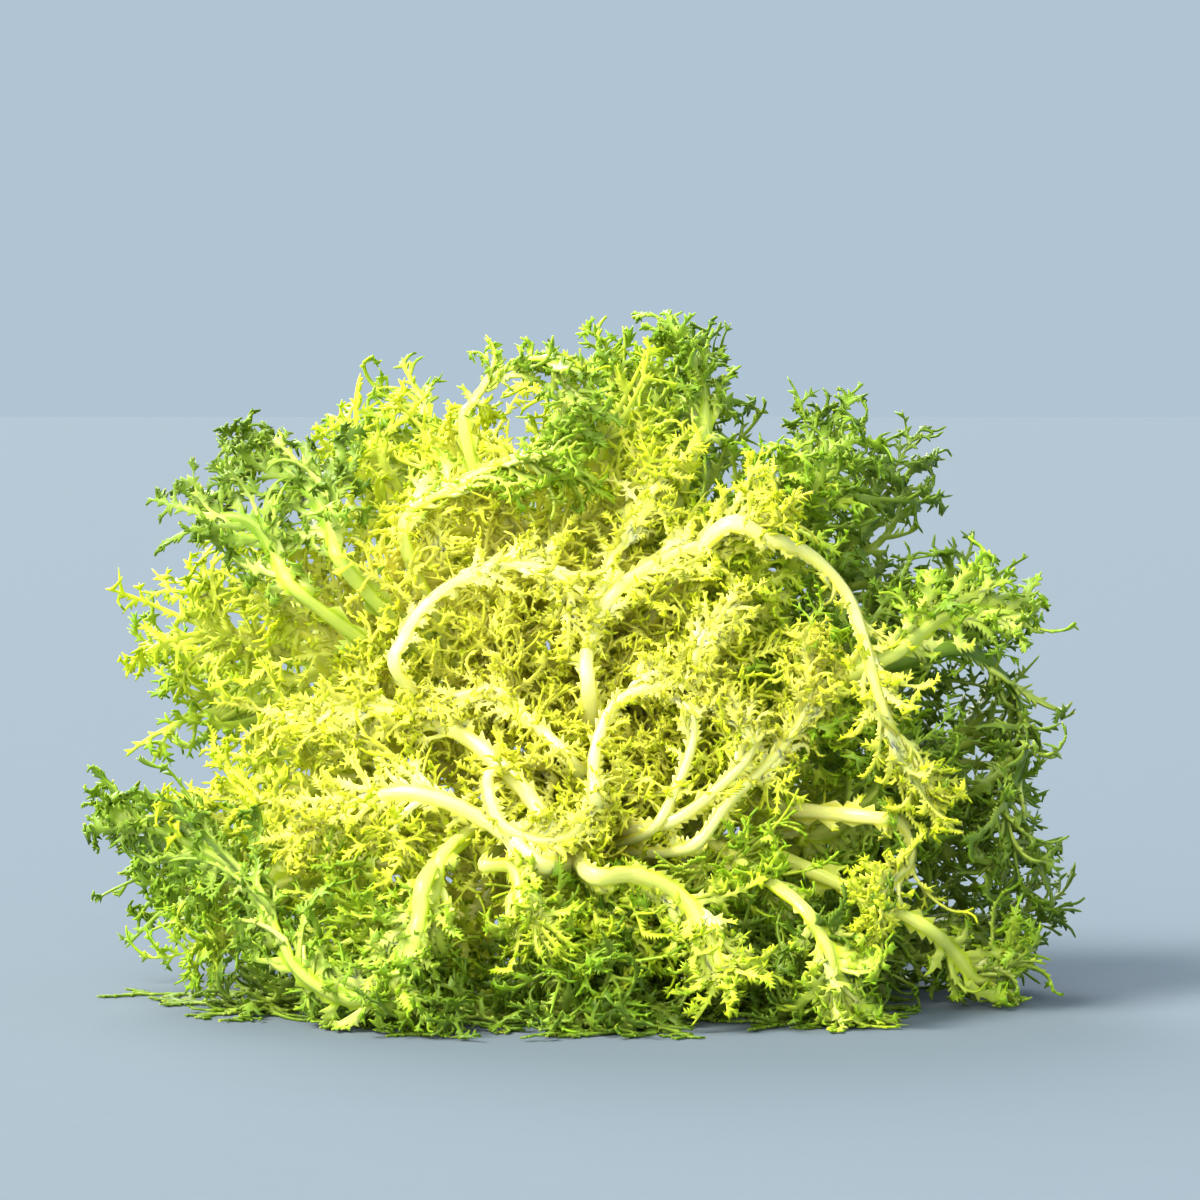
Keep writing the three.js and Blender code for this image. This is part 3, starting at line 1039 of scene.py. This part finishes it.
class ENDIVE_OT_stem(bpy.types.Operator):
    """Shape the short stem, with its cut face and the scars of lost leaves"""

    bl_idname = "endive.stem"
    bl_label = "Stem"

    def execute(self, context):
        bpy.ops.object.select_all(action="DESELECT")
        turn = HEAD_AXIS.to_track_quat("Z", "Y").to_euler()
        spot = CROWN - HEAD_AXIS * (STEM_LENGTH / 2)
        bpy.ops.mesh.primitive_cylinder_add(
            vertices=STEM_SIDES, radius=NECK_RADIUS, depth=STEM_LENGTH, location=spot, rotation=turn
        )
        stem = context.active_object
        stem.name = "cut_stem"
        bpy.ops.object.transform_apply(location=True, rotation=True, scale=True)
        bpy.ops.object.mode_set(mode="EDIT")
        bpy.ops.mesh.select_mode(type="FACE")
        select_faces(stem.data, lambda f: f.normal.dot(HEAD_AXIS) < -0.9)
        for inwards, out in CUT_RINGS:
            bpy.ops.mesh.inset(thickness=inwards * MM, depth=out * MM)
        for rise, widen in SHOULDERS:
            select_faces(stem.data, lambda f: f.normal.dot(HEAD_AXIS) > 0.9)
            bpy.ops.mesh.extrude_region_move(TRANSFORM_OT_translate={"value": HEAD_AXIS * rise * MM})
            bpy.ops.transform.resize(value=(widen, widen, widen))
        select_faces(stem.data, lambda f: abs(f.normal.dot(HEAD_AXIS)) < 0.3)
        bpy.ops.mesh.subdivide(number_cuts=2)
        bpy.ops.object.mode_set(mode="OBJECT")
        rounded = stem.modifiers.new("rounded", "SUBSURF")
        rounded.levels = rounded.render_levels = 2
        bpy.ops.object.modifier_apply(modifier="rounded")
        self.scar(stem.data)
        bpy.ops.object.shade_smooth()
        for material in stem_materials(context.scene.endive.colours):
            stem.data.materials.append(material)
        for face in stem.data.polygons:
            face.material_index = int(face.normal.dot(HEAD_AXIS) < -0.55)
        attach(stem, "root")
        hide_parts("stem")
        return {"FINISHED"}

    def scar(self, mesh):
        """Ridges under lost leaves, round the neck in two rows."""
        for point in mesh.vertices:
            along = (point.co - CROWN).dot(HEAD_AXIS)
            out = point.co - CROWN - HEAD_AXIS * along
            if out.length < 0.6 * NECK_RADIUS:
                continue
            around = math.atan2(out.x, out.cross(HEAD_AXIS).x)
            ridge = 0.0
            for height, count, phase in SCAR_ROWS:
                near = math.exp(-(((along + height * MM) / SCAR_WIDTH) ** 2))
                ridge += near * (0.55 + 0.45 * math.sin(count * around + phase))
            point.co += out.normalized() * (ridge * SCAR_RISE - NECK_SHRINK) * MM


# ---- Stage ----

FLOOR_SIZE = 16
VIEW_SIDEWAYS = 0.004  # the point that the camera looks at, in the crown's plane
VIEW_HEIGHT = 0.1245
SENSOR_WIDTH = 36  # millimetres
SKY = (0.66, 0.84, 1.0, 1.0)
SKY_STRENGTH = 0.66

# Name, the direction that the light comes from, strength, spread in degrees, and colour.
SUNS = (
    ("key", (-0.66, -0.34, 0.80), 6.2, 26, (1.0, 0.95, 0.84)),
    ("back", (-0.25, 0.75, 0.60), 2.6, 30, (1.0, 1.0, 1.0)),
    ("fill", (-0.15, -0.92, 0.35), 3.0, 60, (1.0, 0.95, 0.82)),
)


def aim(thing, place, target):
    """Puts a light or a camera at a place, looking at the target."""
    thing.location = place
    thing.rotation_euler = (target - place).to_track_quat("-Z", "Y").to_euler()


def soft_sun(name, source, strength, spread, tone):
    """A wide, even light that comes from a direction."""
    light = bpy.data.lights.new(name, "SUN")
    light.energy = strength
    light.angle = math.radians(spread)
    light.color = tone
    lamp = bpy.data.objects.new(name, light)
    bpy.context.collection.objects.link(lamp)
    aim(lamp, Vector(source), Vector((0, 0, 0)))


class ENDIVE_OT_stage(bpy.types.Operator):
    """Lay the floor and set the lights and the camera"""

    bl_idname = "endive.stage"
    bl_label = "Stage"

    def execute(self, context):
        settings = context.scene.endive
        bpy.ops.object.select_all(action="DESELECT")
        bpy.ops.mesh.primitive_plane_add(size=FLOOR_SIZE, location=(0, 0, 0))
        floor = context.active_object
        floor.name = "floor"
        paint = Paint("floor")
        place = paint.node("ShaderNodeTexCoord", output="Object")
        grain = paint.noise(place, 60)
        surface = {
            "Base Color": (*settings.colours.floor, 1),
            "Roughness": grain * 0.1 + 0.85,
            "Specular IOR Level": 0.08,
        }
        floor.data.materials.append(paint.finish(paint.node("ShaderNodeBsdfPrincipled", None, surface)))

        for sun in SUNS:
            soft_sun(*sun)
        world = bpy.data.worlds.new("studio")
        world.use_nodes = True
        background = world.node_tree.nodes["Background"]
        background.inputs["Color"].default_value = SKY
        background.inputs["Strength"].default_value = SKY_STRENGTH
        context.scene.world = world

        camera = bpy.data.objects.new("camera", bpy.data.cameras.new("camera"))
        camera.data.lens = settings.camera_lens
        camera.data.sensor_width = SENSOR_WIDTH
        context.collection.objects.link(camera)
        middle = Vector((VIEW_SIDEWAYS, CROWN.y, VIEW_HEIGHT))
        rise = settings.camera_rise
        back = Vector((0, -math.cos(rise), math.sin(rise))) * settings.camera_distance
        aim(camera, middle + back, middle)
        context.scene.camera = camera
        context.scene.view_settings.view_transform = "Standard"
        return {"FINISHED"}


# ---- Panel and registration ----


class ENDIVE_PT_panel(bpy.types.Panel):
    bl_label = "Curly Endive"
    bl_idname = "ENDIVE_PT_panel"
    bl_space_type = "VIEW_3D"
    bl_region_type = "UI"
    bl_category = "Endive"

    def draw(self, context):
        settings = context.scene.endive
        for operator in OPERATORS:
            self.layout.operator(operator.bl_idname)
        for group in (settings.sizes, settings.colours, settings):
            for name in group.__annotations__:
                if name not in ("sizes", "colours"):
                    self.layout.prop(group, name)


OPERATORS = (
    ENDIVE_OT_outer_leaves,
    ENDIVE_OT_middle_leaves,
    ENDIVE_OT_heart_leaves,
    ENDIVE_OT_arching_ribs,
    ENDIVE_OT_stem,
    ENDIVE_OT_stage,
)
CLASSES = (ENDIVE_LeafSizes, ENDIVE_Colours, ENDIVE_Settings, *OPERATORS, ENDIVE_PT_panel)


def register():
    for cls in CLASSES:
        bpy.utils.register_class(cls)
    bpy.types.Scene.endive = PointerProperty(type=ENDIVE_Settings)


def unregister():
    del bpy.types.Scene.endive
    for cls in reversed(CLASSES):
        bpy.utils.unregister_class(cls)


def main():
    register()
    bpy.ops.endive.outer_leaves()
    bpy.ops.endive.middle_leaves()
    bpy.ops.endive.heart_leaves()
    bpy.ops.endive.arching_ribs()
    bpy.ops.endive.stem()
    bpy.ops.endive.stage()


if __name__ == "__main__":
    main()
